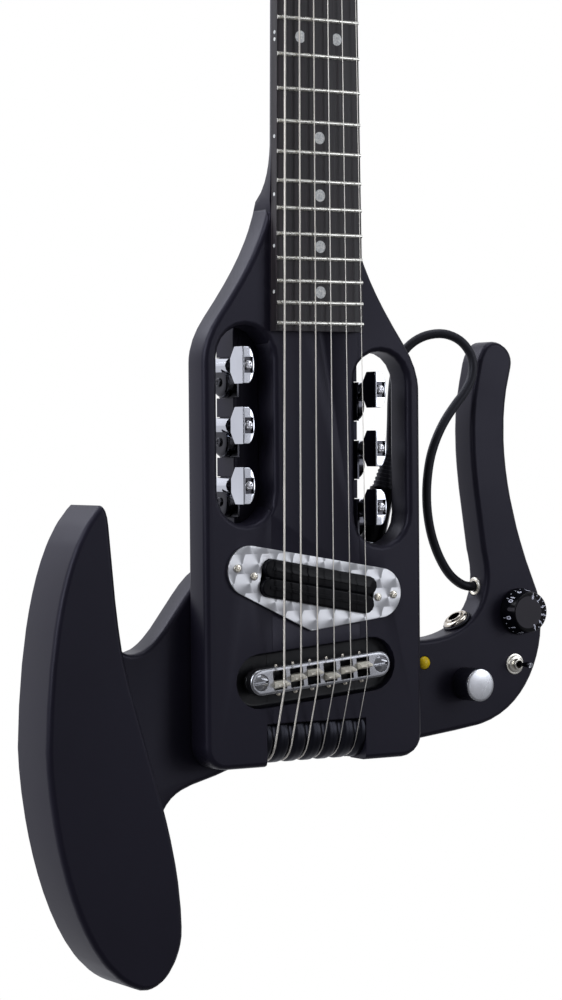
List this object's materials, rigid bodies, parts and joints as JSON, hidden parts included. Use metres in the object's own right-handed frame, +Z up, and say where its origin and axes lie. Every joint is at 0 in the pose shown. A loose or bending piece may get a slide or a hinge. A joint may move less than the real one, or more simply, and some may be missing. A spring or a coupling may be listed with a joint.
{
  "type": "travel guitar",
  "caption": "Slim headless travel electric guitar with tuners inside body windows, string rollers at the foot, a crescent arm rest and a hooked lap rest with controls.",
  "frame": {"origin": "middle of the flat back of the neck block, on the centre line, 185 mm above the nominal saddle line", "axes": "+Z up the neck towards the headless end, +X to the treble side as seen from the front, +Y out of the back"},
  "size_m": [0.3178, 0.0459, 0.8193],
  "materials": {
    "painted_wood": "satin black paint over wood",
    "board_wood": "oiled dark wood with polished frets",
    "black_plastic": "matte black",
    "gloss_plastic": "gloss black",
    "chrome": "polished chrome",
    "brass": "bare brass, machined",
    "steel": "plain drawn steel",
    "wire": "nickel-wound and plain steel wire",
    "nickel": "bright nickel plate",
    "swirled_aluminium": "engine-turned swirls",
    "rubber": "matte black",
    "circuit": "green circuit board with metal cans"
  },
  "bodies": {
    "guitar_body": {"neck_through": "painted_wood", "left_wing": "painted_wood", "right_wing": "painted_wood", "truss_rod": "steel", "fretboard": "board_wood", "headpiece": "nickel", "string_1": "wire", "string_2": "wire", "string_3": "wire", "string_4": "wire", "string_5": "wire", "string_6": "wire", "pickup_plate": "swirled_aluminium", "pickup": "gloss_plastic", "roller_axle": "steel", "tuner_housing_1": "chrome", "tuner_housing_2": "chrome", "tuner_housing_3": "chrome", "tuner_housing_4": "chrome", "tuner_housing_5": "chrome", "tuner_housing_6": "chrome", "link_jack": "chrome", "cable_plug": "rubber"},
    "arm_rest": {"arm_rest": "black_plastic"},
    "lap_rest": {"lap_rest": "black_plastic", "lap_rest_cover": "black_plastic", "control_board": "circuit", "output_jack": "nickel", "cable_bush": "nickel", "cable": "rubber"},
    "bridge": {"bridge": "chrome"},
    "bridge_post_bass": {"bridge_post_bass": "chrome"},
    "bridge_post_treble": {"bridge_post_treble": "chrome"},
    "volume_knob": {"volume_knob": "gloss_plastic"},
    "mixer_knob": {"mixer_knob": "gloss_plastic"},
    "toggle_lever": {"toggle_lever": "chrome"},
    "saddle_1": {"saddle_1": "nickel"},
    "roller_1": {"roller_1": "gloss_plastic"},
    "tuner_button_1": {"tuner_button_1": "chrome"},
    "tuner_post_1": {"tuner_post_1": "brass"},
    "saddle_2": {"saddle_2": "nickel"},
    "roller_2": {"roller_2": "gloss_plastic"},
    "tuner_button_2": {"tuner_button_2": "chrome"},
    "tuner_post_2": {"tuner_post_2": "brass"},
    "saddle_3": {"saddle_3": "nickel"},
    "roller_3": {"roller_3": "gloss_plastic"},
    "tuner_button_3": {"tuner_button_3": "chrome"},
    "tuner_post_3": {"tuner_post_3": "brass"},
    "saddle_4": {"saddle_4": "nickel"},
    "roller_4": {"roller_4": "gloss_plastic"},
    "tuner_button_4": {"tuner_button_4": "chrome"},
    "tuner_post_4": {"tuner_post_4": "brass"},
    "saddle_5": {"saddle_5": "nickel"},
    "roller_5": {"roller_5": "gloss_plastic"},
    "tuner_button_5": {"tuner_button_5": "chrome"},
    "tuner_post_5": {"tuner_post_5": "brass"},
    "saddle_6": {"saddle_6": "nickel"},
    "roller_6": {"roller_6": "gloss_plastic"},
    "tuner_button_6": {"tuner_button_6": "chrome"},
    "tuner_post_6": {"tuner_post_6": "brass"}
  },
  "joints": [
    {"name": "tuner_button_1_turn", "type": "hinge", "parent": "guitar_body", "child": "tuner_button_1", "pos_m": [-0.0406, -0.011, -0.0921], "axis": [0, 1, 0], "continuous": true},
    {"name": "tuner_post_1_turn", "type": "hinge", "parent": "guitar_body", "child": "tuner_post_1", "pos_m": [-0.0406, -0.011, -0.1006], "axis": [1, 0, 0], "continuous": true},
    {"name": "roller_1_turn", "type": "hinge", "parent": "guitar_body", "child": "roller_1", "pos_m": [-0.025, -0.0215, -0.2223], "axis": [1, 0, 0], "continuous": true},
    {"name": "tuner_button_2_turn", "type": "hinge", "parent": "guitar_body", "child": "tuner_button_2", "pos_m": [-0.0406, -0.011, -0.0611], "axis": [0, 1, 0], "continuous": true},
    {"name": "tuner_post_2_turn", "type": "hinge", "parent": "guitar_body", "child": "tuner_post_2", "pos_m": [-0.0406, -0.011, -0.0696], "axis": [1, 0, 0], "continuous": true},
    {"name": "roller_2_turn", "type": "hinge", "parent": "guitar_body", "child": "roller_2", "pos_m": [-0.015, -0.0215, -0.2223], "axis": [1, 0, 0], "continuous": true},
    {"name": "tuner_button_3_turn", "type": "hinge", "parent": "guitar_body", "child": "tuner_button_3", "pos_m": [-0.0406, -0.011, -0.0301], "axis": [0, 1, 0], "continuous": true},
    {"name": "tuner_post_3_turn", "type": "hinge", "parent": "guitar_body", "child": "tuner_post_3", "pos_m": [-0.0406, -0.011, -0.0386], "axis": [1, 0, 0], "continuous": true},
    {"name": "roller_3_turn", "type": "hinge", "parent": "guitar_body", "child": "roller_3", "pos_m": [-0.005, -0.0215, -0.2223], "axis": [1, 0, 0], "continuous": true},
    {"name": "tuner_button_4_turn", "type": "hinge", "parent": "guitar_body", "child": "tuner_button_4", "pos_m": [0.0406, -0.011, -0.0425], "axis": [0, 1, 0], "continuous": true},
    {"name": "tuner_post_4_turn", "type": "hinge", "parent": "guitar_body", "child": "tuner_post_4", "pos_m": [0.0406, -0.011, -0.051], "axis": [1, 0, 0], "continuous": true},
    {"name": "roller_4_turn", "type": "hinge", "parent": "guitar_body", "child": "roller_4", "pos_m": [0.005, -0.0215, -0.2223], "axis": [1, 0, 0], "continuous": true},
    {"name": "tuner_button_5_turn", "type": "hinge", "parent": "guitar_body", "child": "tuner_button_5", "pos_m": [0.0406, -0.011, -0.0735], "axis": [0, 1, 0], "continuous": true},
    {"name": "tuner_post_5_turn", "type": "hinge", "parent": "guitar_body", "child": "tuner_post_5", "pos_m": [0.0406, -0.011, -0.082], "axis": [1, 0, 0], "continuous": true},
    {"name": "roller_5_turn", "type": "hinge", "parent": "guitar_body", "child": "roller_5", "pos_m": [0.015, -0.0215, -0.2223], "axis": [1, 0, 0], "continuous": true},
    {"name": "tuner_button_6_turn", "type": "hinge", "parent": "guitar_body", "child": "tuner_button_6", "pos_m": [0.0406, -0.011, -0.1045], "axis": [0, 1, 0], "continuous": true},
    {"name": "tuner_post_6_turn", "type": "hinge", "parent": "guitar_body", "child": "tuner_post_6", "pos_m": [0.0406, -0.011, -0.113], "axis": [1, 0, 0], "continuous": true},
    {"name": "roller_6_turn", "type": "hinge", "parent": "guitar_body", "child": "roller_6", "pos_m": [0.025, -0.0215, -0.2223], "axis": [1, 0, 0], "continuous": true},
    {"name": "bridge_height", "type": "slide", "parent": "guitar_body", "child": "bridge", "axis": [0, 1, 0], "range_m": [0, 0.0015]},
    {"name": "bridge_post_bass_turn", "type": "hinge", "parent": "bridge", "child": "bridge_post_bass", "pos_m": [-0.03687, -0.036, -0.19316], "axis": [0, 1, 0], "range_deg": [0, 540.1]},
    {"name": "bridge_post_treble_turn", "type": "hinge", "parent": "bridge", "child": "bridge_post_treble", "pos_m": [0.03687, -0.036, -0.18684], "axis": [0, 1, 0], "range_deg": [0, 540.1]},
    {"name": "saddle_1_slide", "type": "slide", "parent": "bridge", "child": "saddle_1", "axis": [-0.0854, 0, 0.9963], "range_m": [-0.0006, 0.0052]},
    {"name": "saddle_2_slide", "type": "slide", "parent": "bridge", "child": "saddle_2", "axis": [-0.0854, 0, 0.9963], "range_m": [-0.0027, 0.0031]},
    {"name": "saddle_3_slide", "type": "slide", "parent": "bridge", "child": "saddle_3", "axis": [-0.0854, 0, 0.9963], "range_m": [-0.0039, 0.0019]},
    {"name": "saddle_4_slide", "type": "slide", "parent": "bridge", "child": "saddle_4", "axis": [-0.0854, 0, 0.9963], "range_m": [-0.0006, 0.0052]},
    {"name": "saddle_5_slide", "type": "slide", "parent": "bridge", "child": "saddle_5", "axis": [-0.0854, 0, 0.9963], "range_m": [-0.0024, 0.0034]},
    {"name": "saddle_6_slide", "type": "slide", "parent": "bridge", "child": "saddle_6", "axis": [-0.0854, 0, 0.9963], "range_m": [-0.0036, 0.0022]},
    {"name": "arm_rest_unplug", "type": "slide", "parent": "guitar_body", "child": "arm_rest", "axis": [-1, 0, 0], "range_m": [0, 0.04]},
    {"name": "lap_rest_unplug", "type": "slide", "parent": "guitar_body", "child": "lap_rest", "axis": [1, 0, 0], "range_m": [0, 0.04], "deforming": ["cable"]},
    {"name": "volume_knob_turn", "type": "hinge", "parent": "lap_rest", "child": "volume_knob", "pos_m": [0.1438, -0.018, -0.1642], "axis": [0, -1, 0], "range_deg": [-150, 150]},
    {"name": "mixer_knob_turn", "type": "hinge", "parent": "lap_rest", "child": "mixer_knob", "pos_m": [0.1073, -0.018, -0.20231], "axis": [0, -1, 0], "range_deg": [-140, 140]},
    {"name": "toggle_lever_flip", "type": "hinge", "parent": "lap_rest", "child": "toggle_lever", "pos_m": [0.141, -0.0167, -0.1932], "axis": [0, 0, -1], "range_deg": [0, 18]}
  ],
  "couplings": [
    {"joint": "tuner_post_1_turn", "follows": "tuner_button_1_turn", "ratio": 0.071429},
    {"joint": "roller_1_turn", "follows": "tuner_button_1_turn", "ratio": 0.016563},
    {"joint": "tuner_post_2_turn", "follows": "tuner_button_2_turn", "ratio": 0.071429},
    {"joint": "roller_2_turn", "follows": "tuner_button_2_turn", "ratio": 0.016163},
    {"joint": "tuner_post_3_turn", "follows": "tuner_button_3_turn", "ratio": 0.071429},
    {"joint": "roller_3_turn", "follows": "tuner_button_3_turn", "ratio": 0.015756},
    {"joint": "tuner_post_4_turn", "follows": "tuner_button_4_turn", "ratio": 0.071429},
    {"joint": "roller_4_turn", "follows": "tuner_button_4_turn", "ratio": 0.015344},
    {"joint": "tuner_post_5_turn", "follows": "tuner_button_5_turn", "ratio": 0.071429},
    {"joint": "roller_5_turn", "follows": "tuner_button_5_turn", "ratio": 0.015135},
    {"joint": "tuner_post_6_turn", "follows": "tuner_button_6_turn", "ratio": 0.071429},
    {"joint": "roller_6_turn", "follows": "tuner_button_6_turn", "ratio": 0.014925},
    {"joint": "bridge_post_bass_turn", "follows": "bridge_height", "rad_per_m": 6283.2},
    {"joint": "bridge_post_treble_turn", "follows": "bridge_height", "rad_per_m": 6283.2}
  ]
}
